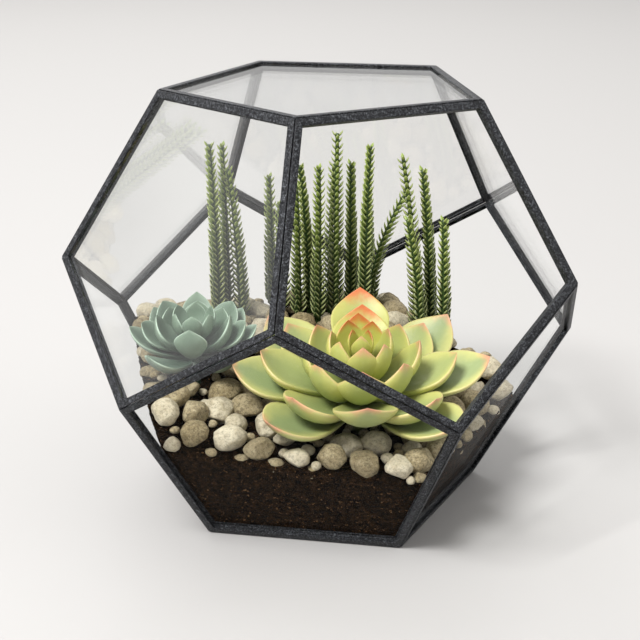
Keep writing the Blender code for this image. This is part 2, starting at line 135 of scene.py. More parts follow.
# Shape of the pebbles, on a ball of radius 1
BLANK_COUNT = 12
FINE_LEVEL, PLAIN_LEVEL = 4, 2
BLANK_SEED = 100
BLANK_SHIFT = (3.7, 1.9)
BULGE, BULGE_SCALE = 0.16, 1.3
FEWEST_FLATS, FLAT_CHOICES = 6, 4
FLAT_PLACE = (0.64, 0.88)
FLATNESS = 0.92
WEAR = 0.5
BLANK_RADIUS = 0.98
BLANK_LUMPS = ((0.05, 3.4), (0.02, 9))  # height and noise scale
OLIVE_KIND, CREAM_KIND = (0.75, 1), (0, 0.25)

# Places of the leaves, by the same rules as in the solids. A whorl has its leaves' reach, the rise of
# their tips, their width, the height of their roots, how far along and up they bend, its tilt, the
# leaves of a full turn, and which of them are there.
FRONT_TURN = math.radians(-26.3)
Whorl = namedtuple("Whorl", "reach rise width root belly lift tilt count leaves")
LARGE_WHORLS = (
    Whorl(64.5, 0, 34, -23, 0.74, 0.10, 7, 8, range(1, 8)),
    Whorl(50, 5, 32, -20, 0.80, 0.10, 0, 8, range(8)),
    Whorl(29, 13, 26, -15, 0.95, 0.15, 0, 8, range(8)),
    Whorl(14.5, 18, 18, -9, 1.20, 0.30, 0, 7, range(7)),
    Whorl(4.5, 19, 10, -1, 1.60, 0.45, 0, 3, range(3)),
)
SMALL_WHORLS = (
    Whorl(33, 0, 16, -19, 0.75, 0.10, 9, 8, range(1, 8)),
    Whorl(27, 2.5, 17, -16, 0.82, 0.12, 18, 8, (2, 3, 5, 6)),
    Whorl(19, 7, 18, -13, 1.00, 0.10, 0, 8, (0, 2, 3, 4, 5, 6)),
    Whorl(10, 10.5, 11, -6, 1.20, 0.30, 0, 6, range(6)),
)
LEAF_STAGGER = 0.035
LEAF_THICKNESS = 4.6
LEAF_THICKNESS_SHARE = 0.18
LEAF_ROOT_RADIUS = 0.05

# A rosette has its crown's place, its lean, its whorls, the radii of its core and stalk, how far
# along a leaf is widest, and how blunt its point is.
Rosette = namedtuple("Rosette", "crown lean whorls core stalk widest point")
ROSETTES = {
    "rosette_large": Rosette((-4.5, -48.2, 88.6), 10, LARGE_WHORLS, 7.0, 4.2, 0.65, 1.85),
    "rosette_small": Rosette((-71, 12, 99), 4, SMALL_WHORLS, 4.0, 2.6, 0.66, 2.7),
}

# Where each stem has its root and its tip
STEMS = (
    ((-33, 72), (-36, 72, 181)),
    ((-24, 80), (-25, 80, 178)),
    ((-18, 73), (-24, 75, 165)),
    ((8, 88), (7, 88, 155)),
    ((10, 77), (9, 78, 141)),
    ((14, 64), (13, 64, 154)),
    ((26, 74), (20, 74, 163)),
    ((23, 56), (24, 57, 165)),
    ((39, 73), (41, 72, 162)),
    ((36, 59), (36, 58, 183)),
    ((50, 67), (49, 66, 163)),
    ((51, 52), (54, 52, 175)),
    ((66, 74), (64, 72, 138)),
    ((60, 61), (83, 58, 146)),
    ((68, 20), (57, 20, 175)),
    ((79, 23), (71, 22, 166)),
    ((64, 8), (54, 8, 143)),
    ((79, 8), (77, 8, 140)),
)
STEM_COLLAR = 2.2 * MM
STEM_BELLY = 0.45
SCALE_REACH = (3.7 * MM, 2.3 * MM)

# Form of the leaves, finer than in the solids: how deep they are cupped, the powers by which the cup
# and the thickness fade towards the tip, and the upper side's share of the thickness.
LeafForm = namedtuple("LeafForm", "cup cup_fade thickness_fade upper")
FLESHY_LEAF = LeafForm(0.4, 3, 5, 0.30)
SCALE_LEAF = LeafForm(0.25, None, 3, 0.4)
LEAF_BLANK = (22, 20)  # segments and rings
POLE_RADIUS = 0.001
LEAF_FULLNESS = 0.75
ROOT_WIDTH = 0.26
WIDTH_SWELL = 1.3
REACH_SPREAD = (0.97, 1.03)
WIDTH_SPREAD = (0.94, 1.04)
RISE_SPREAD = (-0.015, 0.02)
SWING = 0.05
BACK_LEAF = 0.6
CHANCE_LIMIT = 0.4
CORE_BLANK = (20, 12)
CORE_MARGIN = 2 * MM
STALK_SIDES = 16
STALK_DEPTH = 12 * MM

# Form of the stems, finer than in the solids. A scale leaf's lengths are shares of its reach.
STEM_SEED = 11
AXIS_STEP = 0.02
CORE_SHARE = 0.42
CORE_SIDES = 8
# The stem's core takes the dark colour of the painted shade low on the stems.
CORE_RANK = 0.1
FOOT_RADIUS, FOOT_DEPTH = 1.3 * MM, 5 * MM
SCALE_BLANK = (6, 6)
SCALE_GROWTH = 1.08
SCALE_TAPER = 1.6
SCALE_BEND = ((0.2, -0.45), (0.86, -0.12), (1.26, 0.84))  # out and up at root, belly and tip
SCALE_HALF_WIDTH, SCALE_THICKNESS = 0.47, 0.26
SCALE_OUTLINE = (0.5, 1.6)  # how far along it is widest, and how blunt its point is
SCALE_TURN = 0.1
SCALE_SPREAD = (0.93, 1.07)

# Stage
FLOOR_SIZE = 8
LIGHTS = {"key": (-2.7, -1.1, 4.1), "fill": (1.8, -1.4, 1.2), "rim": (0.5, 2.2, 1.9)}
LIGHT_SIZE = 1.6
LIGHT_AIM = Vector((0, 0, 0.08))
SENSOR_WIDTH = 36


class Value:
    """A number or colour in a material that can be used in arithmetic."""

    def __init__(self, paint, socket):
        self.paint = paint
        self.socket = socket

    def _maths(self, operation, first, second):
        return self.paint.node("ShaderNodeMath", (first, second), operation=operation)

    def __add__(self, other):
        return self._maths("ADD", self, other)

    def __radd__(self, other):
        return self._maths("ADD", other, self)

    def __sub__(self, other):
        return self._maths("SUBTRACT", self, other)

    def __rsub__(self, other):
        return self._maths("SUBTRACT", other, self)

    def __mul__(self, other):
        return self._maths("MULTIPLY", self, other)

    def __rmul__(self, other):
        return self._maths("MULTIPLY", other, self)

    def __pow__(self, other):
        return self._maths("POWER", self, other)


class Paint:
    """One procedural material, built node by node."""

    def __init__(self, name):
        self.material = bpy.data.materials.new(name)
        self.material.use_nodes = True
        self.tree = self.material.node_tree
        self.tree.nodes.clear()

    def node(self, kind, values=(), output=0, **settings):
        """Add a node, set it, wire its sockets and give back one of its outputs."""
        node = self.tree.nodes.new(kind)
        for name, setting in settings.items():
            setattr(node, name, setting)
        pairs = values.items() if isinstance(values, dict) else enumerate(values)
        for key, value in pairs:
            socket = node.inputs[key]
            if isinstance(value, Value):
                self.tree.links.new(value.socket, socket)
            else:
                socket.default_value = value
        return Value(self, node.outputs[output])

    def noise(self, size, detail, rough):
        """Cloudy noise on the piece's own coordinates, with patches about one size across."""
        place = self.node("ShaderNodeTexCoord", output="Object")
        values = {"Vector": place, "Scale": 1 / size, "Detail": detail, "Roughness": rough}
        return self.node("ShaderNodeTexNoise", values)

    def attribute(self, name):
        """A number that the mesh carries at its points."""
        return self.node("ShaderNodeAttribute", output="Fac", attribute_name=name)

    def step(self, value, low, high):
        """0 below one level of a value, 1 above another, and smooth between them."""
        values = {"Value": value, "From Min": low, "From Max": high}
        return self.node("ShaderNodeMapRange", values, interpolation_type="SMOOTHSTEP")

    def mix(self, share, first, second):
        """Blend of two colours."""
        ends = [end if isinstance(end, Value) else (*end, 1.0) for end in (first, second)]
        values = {0: share, 6: ends[0], 7: ends[1]}
        return self.node("ShaderNodeMix", values, output=2, data_type="RGBA")

    def bump(self, height, depth):
        """A normal that stands up where a value is high."""
        return self.node("ShaderNodeBump", {"Height": height, "Distance": depth})

    def principled(self, values):
        """Close the material with a Principled shader."""
        self.surface(self.node("ShaderNodeBsdfPrincipled", values))
        return self.material

    def surface(self, shader):
        """Wire a shader to the material's surface."""
        output = self.tree.nodes.new("ShaderNodeOutputMaterial")
        self.tree.links.new(shader.socket, output.inputs["Surface"])


# Materials

def patina_material(finish):
    """Dark metal with a mottled patina."""
    paint = Paint("patina")
    mottle = paint.step(paint.noise(2.0 * MM, detail=10, rough=0.8), low=0.42, high=0.62)
    specks = paint.step(paint.noise(0.9 * MM, detail=5, rough=0.8), low=0.50, high=0.60)
    rubbed = specks * (0.16 + 0.36 * mottle)
    colour = paint.mix(mottle, finish.dark, finish.light)
    colour = paint.mix(rubbed, colour, finish.speck)
    height = mottle * 0.5 + specks * 0.5
    return paint.principled({
        "Base Color": colour,
        "Metallic": 0.20,
        "Specular IOR Level": 0.25,
        "Roughness": 0.36 + 0.22 * mottle,
        "Normal": paint.bump(height, depth=0.10 * MM),
    })


def glass_material(name, finish, gloss, glaze):
    """Clear glass: what is behind shows through, with the room's gloss over it."""
    paint = Paint(name)
    through = paint.node("ShaderNodeBsdfTransparent", {"Color": (*finish.tint, 1.0)})
    sheen = paint.node("ShaderNodeBsdfGlossy", {"Color": (1, 1, 1, 1), "Roughness": 0.02})
    slant = paint.node("ShaderNodeLayerWeight", {"Blend": 0.5}, output="Facing")
    share = gloss + glaze * slant ** GLAZE_POWER
    paint.surface(paint.node("ShaderNodeMixShader", (share, through, sheen)))
    return paint.material


def soil_material(finish):
    """Damp potting soil with bark crumbs."""
    paint = Paint("soil")
    clumps = paint.step(paint.noise(9 * MM, detail=8, rough=0.75), low=0.34, high=0.66)
    grit = paint.noise(2.4 * MM, detail=8, rough=0.9)
    crumbs = paint.step(paint.noise(1.9 * MM, detail=4, rough=0.7), low=0.62, high=0.67)
    dry = (0.4 + clumps * 0.6) * paint.step(grit, low=0.44, high=0.60)
    colour = paint.mix(dry, finish.dark, finish.light)
    colour = paint.mix(crumbs * 0.8, colour, finish.crumb)
    return paint.principled({
        "Base Color": colour,
        "Roughness": 0.95,
        "Specular IOR Level": 0.05,
        "Normal": paint.bump(clumps * 0.3 + grit * 1.5, depth=2.5 * MM),
    })


def pebble_material(finish):
    """Tumbled stone, cream or olive, with fine speckles."""
    paint = Paint("pebble")
    kind = paint.attribute("kind")
    chance = paint.attribute("chance")
    cloud = paint.step(paint.noise(4.5 * MM, detail=6, rough=0.65), low=0.3, high=0.7)
    grit = paint.noise(1.5 * MM, detail=8, rough=0.85)
    cream = paint.mix(cloud, finish.cream, finish.cream_shade)
    olive = paint.mix(cloud, finish.olive, finish.olive_shade)
    colour = paint.mix(kind, cream, olive)
    specks = paint.step(grit, low=0.49, high=0.57) * (0.60 + 0.25 * kind)
    colour = paint.mix(specks, colour, paint.mix(kind, finish.cream_speck, finish.olive_speck))
    pale = paint.step(grit, low=0.45, high=0.36) * 0.45
    colour = paint.mix(pale, colour, finish.cream)
    dull = chance * 0.30
    colour = paint.mix(dull, colour, finish.olive_speck)
    return paint.principled({
        "Base Color": colour,
        "Roughness": 0.82,
        "Normal": paint.bump(cloud * 0.5 - grit, depth=0.55 * MM),
    })


def leaf_material(name, finish, roughness):
    """A succulent leaf: darkened at its root by painted shade, paler to its rim, blushing at its tip.

    The mesh says how far along and across the leaf a point lies and how far in its whorl stands, and
    gives back leaves chance 1.
    """
    paint = Paint(name)
    along = paint.attribute("along")
    across = paint.attribute("across")
    inner = paint.attribute("rank")
    chance = paint.attribute("chance")
    cloud = paint.noise(8 * MM, detail=4, rough=0.55) - 0.5
    streak = paint.noise(2.2 * MM, detail=4, rough=0.6) - 0.5
    margin = paint.step(across + 0.45 * along + 0.5 * cloud, low=0.55, high=1.30)
    colour = paint.mix(margin, finish.middle, finish.margin)
    back = paint.step(chance, low=0.5, high=0.9)
    heart = inner * (0.62 + 0.30 * along) + back * 0.5
    colour = paint.mix(heart, colour, finish.heart)
    # Painted shade: each leaf darkens towards its root, where the leaves overlap and shade falls.
    root = paint.step(along, low=0.62, high=0.10) * 0.85
    colour = paint.mix(root, colour, finish.root)
    towards_tip = along + 0.22 * cloud + 0.09 * chance + 0.05 * across
    blush = paint.step(towards_tip, low=0.90, high=1.09) * finish.blush_share
    colour = paint.mix(blush, colour, paint.mix(back, finish.side_blush, finish.blush))
    edge = paint.step(across, low=0.93, high=0.99) * paint.step(along, low=0.40, high=0.90)
    colour = paint.mix(edge * finish.rim_share, colour, finish.rim)
    bloom = paint.step(streak, low=0.0, high=0.35) * 0.16
    colour = paint.mix(bloom, colour, finish.bloom)
    return paint.principled({
        "Base Color": colour,
        "Roughness": roughness,
        "Subsurface Weight": 0.03,
        "Subsurface Radius": (3 * MM, 4 * MM, 1.5 * MM),
        "Normal": paint.bump(streak + cloud, depth=0.12 * MM),
    })


def scale_material(finish):
    """The pointed leaves of the slim stems, paler along their edges."""
    paint = Paint("stem leaf")
    along = paint.attribute("along")
    across = paint.attribute("across")
    height = paint.attribute("rank")
    cloud = paint.noise(6 * MM, detail=3, rough=0.5)
    # Painted shade: the leaves darken from the tips down to the bed, where the clump is shaded.
    light = paint.step(height + 0.3 * (cloud - 0.5), low=0.1, high=0.95)
    colour = paint.mix(light, finish.low, finish.high)
    # Painted shade at the root of each leaf, in the crease where it meets the stem.
    root = paint.step(along, low=0.55, high=0.15) * 0.6
    colour = paint.mix(root, colour, finish.low)
    edge = paint.step(across + 0.5 * along, low=0.80, high=1.25) * 0.6
    colour = paint.mix(edge, colour, finish.edge)
    return paint.principled({
        "Base Color": colour,
        "Roughness": 0.42,
        "Normal": paint.bump(cloud, depth=0.05 * MM),
    })


# Mesh helpers

def deselect_all():
    """Leave nothing selected."""
    for obj in bpy.context.selected_objects:
        obj.select_set(False)


def take_mesh():
    """Points and faces of the active primitive, which is then removed.

    A sphere's faces come in another order each run, so they are sorted.
    """
    obj = bpy.context.object
    mesh = obj.data
    points = [vert.co.copy() for vert in mesh.vertices]
    faces = sorted(tuple(face.vertices) for face in mesh.polygons)
    bpy.data.objects.remove(obj, do_unlink=True)
    bpy.data.meshes.remove(mesh)
    return points, faces


def ball(segments, rings):
    """Points and faces of a ball of radius 1."""
    deselect_all()
    bpy.ops.mesh.primitive_uv_sphere_add(segments=segments, ring_count=rings, radius=1)
    return take_mesh()


class Piece:
    """Points, faces and point values of one piece that is made of many like shapes."""

    def __init__(self, name, attributes):
        self.name = name
        self.points = []
        self.faces = []
        self.values = {attribute: [] for attribute in attributes}

    def add(self, points, faces, values):
        """Add one shape, with a list or a single number for each point value."""
        first = len(self.points)
        self.points += points
        self.faces += [tuple(first + k for k in face) for face in faces]
        for attribute, value in values.items():
            row = value if isinstance(value, list) else [value] * len(points)
            self.values[attribute] += row

    def build(self, material, nodes):
        """Make the object, which stands for CAD nodes and takes its finish from a slot."""
        mesh = bpy.data.meshes.new(self.name)
        mesh.from_pydata([tuple(point) for point in self.points], [], self.faces)
        for attribute, row in self.values.items():
            layer = mesh.attributes.new(attribute, "FLOAT", "POINT")
            layer.data.foreach_set("value", row)
        mesh.shade_smooth()
        obj = bpy.data.objects.new(self.name, mesh)
        bpy.context.scene.collection.objects.link(obj)
        finish_piece(obj, material, nodes)


def finish_piece(obj, material, nodes):
    """Give a piece its material, and say what it rides on, stands for and takes its finish from."""
    obj.data.materials.clear()
    obj.data.materials.append(material)
    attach(obj, "root")
    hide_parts(*nodes)


def copy_node(name, piece_name):
    """A selected copy of a CAD node, with repeated points merged and flat triangles joined."""
    deselect_all()
    obj = bpy.data.objects.new(piece_name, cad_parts[name].data.copy())
    bpy.context.scene.collection.objects.link(obj)
    bm = bmesh.new()
    bm.from_mesh(obj.data)
    bmesh.ops.remove_doubles(bm, verts=bm.verts, dist=MERGE_DISTANCE)
    bmesh.ops.dissolve_limit(bm, angle_limit=FLAT_ANGLE, verts=bm.verts, edges=bm.edges)
    bm.to_mesh(obj.data)
    bm.free()
    bpy.context.view_layer.objects.active = obj
    obj.select_set(True)
    return obj


def node_material(name, material):
    """Give a CAD node that stays a finished material."""
    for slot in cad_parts[name].material_slots:
        slot.material = material


# The holder

def make_strip(name, material):
    """A strip frame: the CAD body with its arrises eased, so that they catch the light."""
    obj = copy_node(name, "strip" + name.removeprefix("frame"))
    bevel = obj.modifiers.new("arris", "BEVEL")
    bevel.width = ARRIS
    bevel.segments = ARRIS_STEPS
    bevel.limit_method = "ANGLE"
    bpy.ops.object.modifier_apply(modifier=bevel.name)
    bpy.ops.object.shade_smooth_by_angle(angle=SMOOTH_ANGLE)
    finish_piece(obj, material, [name])


# The filling

def smooth_step(share):
    """Rise from 0 to 1 that starts and ends level."""
    share = min(max(share, 0), 1)
    return share * share * (3 - 2 * share)


def reach_towards(x, y, azimuth):
    """How far a point lies from the middle, towards an azimuth."""
    turn = math.radians(azimuth)
    return x * math.cos(turn) + y * math.sin(turn)


def soil_height(x, y):
    """Height of the soil's surface."""
    left, right = (reach_towards(x, y, azimuth) for azimuth in FRONT_AZIMUTHS)
    inward = FRONT_WALL - (left + right + math.hypot(left - right, FRONT_ROUND)) / 2
    rise = 1 - BACK_SHARE * smooth_step(inward / BACK_LENGTH)
    for azimuth, share, width in BANKS:
        away = (BANK_WALL - reach_towards(x, y, azimuth)) / width
        rise *= 1 - share * smooth_step(inward / BANK_START) * math.exp(-away * away)
    nest = NEST_DEPTH * math.exp(-((x - NEST[0]) ** 2 + (y - NEST[1]) ** 2) / NEST_WIDTH ** 2)
    return SOIL_LOW + SOIL_RISE * (1 - rise) + SOIL_LEAN * x - nest


def bed_top(x, y):
    """Height of the top of the pebble bed."""
    return soil_height(x, y) + GAP + BED_THICKNESS


def face_normals():
    """Outward normals of the holder's twelve faces."""
    normals = [Vector((0, 0, 1)), Vector((0, 0, -1))]
    for k in range(FACES_AROUND):
        for azimuth, tilt in ((UPPER_AZIMUTH, FACE_TILT), (LOWER_AZIMUTH, -FACE_TILT)):
            turn = math.radians(azimuth + 360 / FACES_AROUND * k)
            flat = math.cos(tilt)
            normals.append(Vector((math.cos(turn) * flat, math.sin(turn) * flat, math.sin(tilt))))
    return normals


FACE_NORMALS = face_normals()


def nearest_wall(point):
    """Distance from a point to the nearest face, and that face's normal."""
    offset = point - Vector((0, 0, IN_RADIUS))
    normal = max(FACE_NORMALS, key=offset.dot)
    return IN_RADIUS - offset.dot(normal), normal


def curve_point(start, belly, end, share):
    """Point on a curve that sets out towards its belly and runs to its end."""
    return start * (1 - share) ** 2 + belly * 2 * share * (1 - share) + end * share ** 2


def curve_inner(start, belly, end, share):
    """Normal on the inner side of such a curve, which lies in the XZ plane."""
    ahead = (belly - start) * (1 - share) + (end - belly) * share
    return Vector((-ahead.z, 0, ahead.x)).normalized()


def stem_axis(root, tip, share):
    """Point on a stem's axis: upright at the root, leaning to its tip."""
    (x, y), (tip_x, tip_y, tip_z) = root, tip
    start = Vector((x * MM, y * MM, bed_top(x * MM, y * MM) + STEM_COLLAR))
    end = Vector((tip_x, tip_y, tip_z)) * MM
    belly = Vector((start.x, start.y, start.z + STEM_BELLY * (end.z - start.z)))
    return curve_point(start, belly, end, share)


def rosette_pose(rosette):
    """Pose of a rosette: its crown leans towards the open side."""
    turn = Matrix.Rotation(FRONT_TURN, 4, "Z")
    lean = Matrix.Rotation(math.radians(rosette.lean), 4, "X")
    return Matrix.Translation(Vector(rosette.crown) * MM) @ turn @ lean


def rosette_foot(rosette):
    """Where the rosette's stalk bends down into the bed."""
    return rosette_pose(rosette) @ Vector((0, 0, rosette.whorls[0].root * MM))


def surface_tree(obj):
    """A tree that finds the nearest point on an object's surface."""
    bm = bmesh.new()
    bm.from_mesh(obj.data)
    tree = BVHTree.FromBMesh(bm)
    bm.free()
    return tree


def large_pebbles(trees):
    """Centres and radii of the pebbles that the solids have too."""
    rng = random.Random(PEBBLE_SEED)
    stems = [stem_axis(root, tip, share) for root, tip in STEMS for share in STEM_SHARES]
    feet = [rosette_foot(rosette) for rosette in ROSETTES.values()]
    placed = []
    for k in range(PEBBLE_TRIES):
        radius = PEBBLE_RADII[0] + (PEBBLE_RADII[1] - PEBBLE_RADII[0]) * k / PEBBLE_TRIES
        x = rng.uniform(-PEBBLE_FIELD, PEBBLE_FIELD)
        y = rng.uniform(-PEBBLE_FIELD, PEBBLE_FIELD)
        centre = Vector((x, y, bed_top(x, y) + rng.uniform(*PEBBLE_RISE) * radius))
        if nearest_wall(centre)[0] < PEBBLE_REACH * radius + FILL_INSET:
            continue
        if any((centre - other).length < PEBBLE_SPACING * (radius + size) for other, size in placed):
            continue
        if any((centre - point).length < radius + SCALE_REACH[0] + GAP for point in stems):
            continue
        if any((centre - foot).xy.length < STALK_CLEARANCE * radius for foot in feet):
            continue
        if any(tree.find_nearest(centre)[3] < radius + GAP for tree in trees):
            continue
        placed.append((centre, radius))
    return placed


def small_pebbles(placed, trees, finish):
    """Pebbles that fill the gaps, the first of them pressed against the panes."""
    rng = random.Random(finish.filler_seed)
    stems = [stem_axis(root, tip, share) for root, tip in STEMS for share in SMALL_STEM_SHARES]
    feet = [rosette_foot(rosette) for rosette in ROSETTES.values()]
    added = []
    for k in range(finish.filler_tries):
        pressed = k < PRESSED_SHARE * finish.filler_tries
        sizes = PRESSED_RADII if pressed else (finish.filler_large, finish.filler_small)
        radius = sizes[0] + (sizes[1] - sizes[0]) * rng.random() ** SMALLNESS
        x = rng.uniform(-PEBBLE_FIELD, PEBBLE_FIELD)
        y = rng.uniform(-PEBBLE_FIELD, PEBBLE_FIELD)
        rise = rng.uniform(*PRESSED_RISE) if pressed else rng.uniform(*LOOSE_RISE)
        centre = Vector((x, y, soil_height(x, y) + rise * radius))
        room, normal = nearest_wall(centre)
        if pressed:
            if not 0 < room - PANE_FACE < PRESSED_ROOM * radius:
                continue
            centre += normal * (room - PANE_FACE - PRESSED_CONTACT * radius)
        elif room < radius + PANE_FACE:
            continue
        if any((centre - other).length < SPACING_TO_LARGE * (radius + size) for other, size in placed):
            continue
        if any((centre - other).length < SPACING_TO_SMALL * (radius + size) for other, size in added):
            continue
        if any((centre - point).xy.length < radius + STEM_ROOM for point in stems):
            continue
        if any((centre - foot).xy.length < STALK_SHARE * radius + STALK_ROOM for foot in feet):
            continue
        if any(tree.find_nearest(centre)[3] < LEAF_ROOM * radius for tree in trees):
            continue
        added.append((centre, radius))
    return added


def pebble_blanks(subdivisions):
    """Tumbled stones of radius 1, each flattened on a few sides, then worn round again."""
    blanks = []
    for k in range(BLANK_COUNT):
        rng = random.Random(BLANK_SEED + k)
        deselect_all()
        bpy.ops.mesh.primitive_ico_sphere_add(subdivisions=subdivisions, radius=1)
        mesh = bpy.context.object.data
        shift = Vector((k * BLANK_SHIFT[0], k * BLANK_SHIFT[1], 0))
        for vert in mesh.vertices:
            vert.co *= 1 + BULGE * noise.noise(vert.co * BULGE_SCALE + shift)
        for flat in range(FEWEST_FLATS + k % FLAT_CHOICES):
            normal = Vector((rng.gauss(0, 1), rng.gauss(0, 1), rng.gauss(0, 1))).normalized()
            place = rng.uniform(*FLAT_PLACE)
            for vert in mesh.vertices:
                beyond = vert.co.dot(normal) - place
                if beyond > 0:
                    vert.co -= normal * beyond * FLATNESS
        worn = bpy.context.object.modifiers.new("worn", "SMOOTH")
        worn.factor = WEAR
        worn.iterations = subdivisions * subdivisions // 2
        bpy.ops.object.modifier_apply(modifier=worn.name)
        size = max(vert.co.length for vert in mesh.vertices)
        for vert in mesh.vertices:
            lumps = sum(height * noise.noise(vert.co * scale + shift) for height, scale in BLANK_LUMPS)
            vert.co *= BLANK_RADIUS / size + lumps
        blanks.append(take_mesh())
    return blanks


def make_pebbles(finish):
    """The bed of pebbles: each blank copied, turned and sized for each place."""
    trees = [surface_tree(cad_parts[name]) for name in ROSETTES]
    large = large_pebbles(trees)
    placed = large + small_pebbles(large, trees, finish)
    fine, plain = pebble_blanks(FINE_LEVEL), pebble_blanks(PLAIN_LEVEL)
    piece = Piece("pebbles", ("kind", "chance"))
    rng = random.Random(PEBBLE_SEED + 1)
    for k, (centre, radius) in enumerate(placed):
        turn = Matrix.Rotation(rng.uniform(0, math.tau), 4, "Z")
        tip = Matrix.Rotation(rng.uniform(-PEBBLE_TIP, PEBBLE_TIP), 4, "X")
        flat = Matrix.Diagonal((*[side * radius for side in PEBBLE_SHAPE], 1))
        spin = Matrix.Rotation(rng.uniform(0, math.tau), 4, Vector((rng.random(), rng.random(), 1)))
        room, normal = nearest_wall(centre)
        inward = max(0, PANE_FACE + PANE_CONTACT * radius - room)
        shift = Matrix.Translation(centre - normal * inward)
        pose = shift @ turn @ tip @ flat @ spin
        points, faces = rng.choice(fine if k < len(large) else plain)
        kinds = OLIVE_KIND if rng.random() < finish.olive_share else CREAM_KIND
        piece.add([pose @ point for point in points], faces,
                  {"kind": rng.uniform(*kinds), "chance": rng.random() ** 2})
    piece.build(pebble_material(finish), ["gravel"])


def make_soil(finish):
    """The soil: the CAD body, remeshed fine and roughened."""
    obj = copy_node("soil", "soil_body")
    remesh = obj.modifiers.new("fine", "REMESH")
    remesh.mode = "VOXEL"
    remesh.voxel_size = SOIL_VOXEL
    bpy.ops.object.modifier_apply(modifier=remesh.name)
    raised = []
    for vert in obj.data.vertices:
        lump = sum(share * noise.noise(vert.co * scale) for share, scale in SOIL_LUMPS)
        raised.append(vert.co + vert.normal * (LUMP_SHARE * lump + LUMP_LIFT) * finish.lumps)
    for vert, place in zip(obj.data.vertices, raised):
        vert.co = place
    obj.data.shade_smooth()
    finish_piece(obj, soil_material(finish), ["soil"])


# The plants

def leaf_blank(segments, rings):
    """A round blank for a leaf: (along, across, side) for each point, and its faces."""
    points, faces = ball(segments, rings)
    places = []
    for point in points:
        radius = math.hypot(point.x, point.y)
        across, side = (point.x / radius, point.y / radius) if radius > POLE_RADIUS else (0, 0)
        places.append(((point.z + 1) / 2, across, math.copysign(abs(side) ** LEAF_FULLNESS, side)))
    return places, faces


def leaf_width(along, widest, point):
    """Share of a leaf's full width at a place along it: narrow root, broad middle, pointed tip."""
    if along < widest:
        swell = math.sin(math.pi / 2 * along / widest) ** WIDTH_SWELL
        return ROOT_WIDTH + (1 - ROOT_WIDTH) * swell
    return 1 - ((along - widest) / (1 - widest)) ** point


def leaf_shape(places, bend, half_width, outline, thickness, form):
    """Points of a leaf that follows a bend in the XZ plane."""
    points = []
    for along, across, side in places:
        half = half_width * leaf_width(along, *outline)
        depth = thickness * (1 - along ** form.thickness_fade) * (form.upper if side > 0 else 1.0)
        cup = form.cup * half * across * across
        if form.cup_fade:
            cup *= 1 - along ** form.cup_fade
        points.append(curve_point(*bend, along) + Vector((0, across * half, 0))
                      + curve_inner(*bend, along) * (cup + side * depth))
    return points


def leaf_points(rosette, whorl, places, rng):
    """Points of one leaf in millimetres, pointing along +X."""
    reach = whorl.reach * rng.uniform(*REACH_SPREAD)
    width = whorl.width * rng.uniform(*WIDTH_SPREAD)
    rise = whorl.rise + rng.uniform(*RISE_SPREAD) * whorl.reach
    start = Vector((LEAF_ROOT_RADIUS * reach, 0, whorl.root))
    belly = Vector((whorl.belly * reach, 0, whorl.root + whorl.lift * (rise - whorl.root)))
    end = Vector((reach, 0, rise))
    thickness = min(LEAF_THICKNESS, LEAF_THICKNESS_SHARE * width)
    outline = (rosette.widest, rosette.point)
    return leaf_shape(places, (start, belly, end), width / 2, outline, thickness, FLESHY_LEAF)


def make_rosette(name, piece_name, rosette, material):
    """Whorls of fleshy leaves on a short core and stalk."""
    pose = rosette_pose(rosette)
    millimetres = Matrix.Scale(MM, 4)
    places, faces = leaf_blank(*LEAF_BLANK)
    along = [place[0] for place in places]
    across = [abs(place[1]) for place in places]
    rng = random.Random(len(rosette.whorls))
    piece = Piece(piece_name, ("along", "across", "rank", "chance"))
    last = len(rosette.whorls) - 1
    for rank, whorl in enumerate(rosette.whorls):
        tilted = pose @ millimetres @ Matrix.Rotation(math.radians(whorl.tilt), 4, "X")
        for k in whorl.leaves:
            points = leaf_points(rosette, whorl, places, rng)
            swing = rng.uniform(-SWING, SWING)
            turn = Matrix.Rotation(math.tau * k / whorl.count - math.tau / 4 + swing, 4, "Z")
            stagger = LEAF_STAGGER * whorl.reach * (1 if k % 2 else -1)
            place = tilted @ turn @ Matrix.Translation((0, 0, -stagger))
            chance = 1.0 if abs(k - whorl.count / 2) < BACK_LEAF else CHANCE_LIMIT * rng.random()
            piece.add([place @ point for point in points], faces,
                      {"along": along, "across": across, "rank": rank / last, "chance": chance})
    plain = {"along": 0.0, "across": 0.0, "rank": 0.0, "chance": 0.5}

    points, faces = ball(*CORE_BLANK)
    core = rosette.core * MM
    depth = -rosette.whorls[0].root * MM / 2
    squeeze = Matrix.Diagonal((core, core, depth + CORE_MARGIN, 1))
    place = pose @ Matrix.Translation((0, 0, -depth)) @ squeeze
    piece.add([place @ point for point in points], faces, plain)

    deselect_all()
    foot = rosette_foot(rosette)
    bottom = soil_height(foot.x, foot.y) - STALK_DEPTH
    bpy.ops.mesh.primitive_cylinder_add(
        vertices=STALK_SIDES, radius=rosette.stalk * MM, depth=foot.z - bottom,
        location=(foot.x, foot.y, (foot.z + bottom) / 2))
    place = Matrix.Translation(bpy.context.object.location)
    points, faces = take_mesh()
    piece.add([place @ point for point in points], faces, plain)
    piece.build(material, [name])


def scale_points(places, reach):
    """Points of one scale leaf, pointing out along +X and up."""
    bend = [Vector((out * reach, 0, up * reach)) for out, up in SCALE_BEND]
    half_width, thickness = SCALE_HALF_WIDTH * reach, SCALE_THICKNESS * reach
    return leaf_shape(places, bend, half_width, SCALE_OUTLINE, thickness, SCALE_LEAF)


def tube(rings, sides):
    """Points and faces of a closed tube through rings, each with its middle, lean and radius."""
    points = []
    for middle, lean, radius in rings:
        for j in range(sides):
            angle = math.tau * j / sides
            rim = Vector((math.cos(angle) * radius, math.sin(angle) * radius, 0))
            points.append(middle + lean @ rim)
    faces = []
    for low in range(0, len(points) - sides, sides):
        high = low + sides
        for j in range(sides):
            after = (j + 1) % sides
            faces.append((low + j, low + after, high + after, high + j))
    faces.append(tuple(reversed(range(sides))))
    faces.append(tuple(range(len(points) - sides, len(points))))
    return points, faces


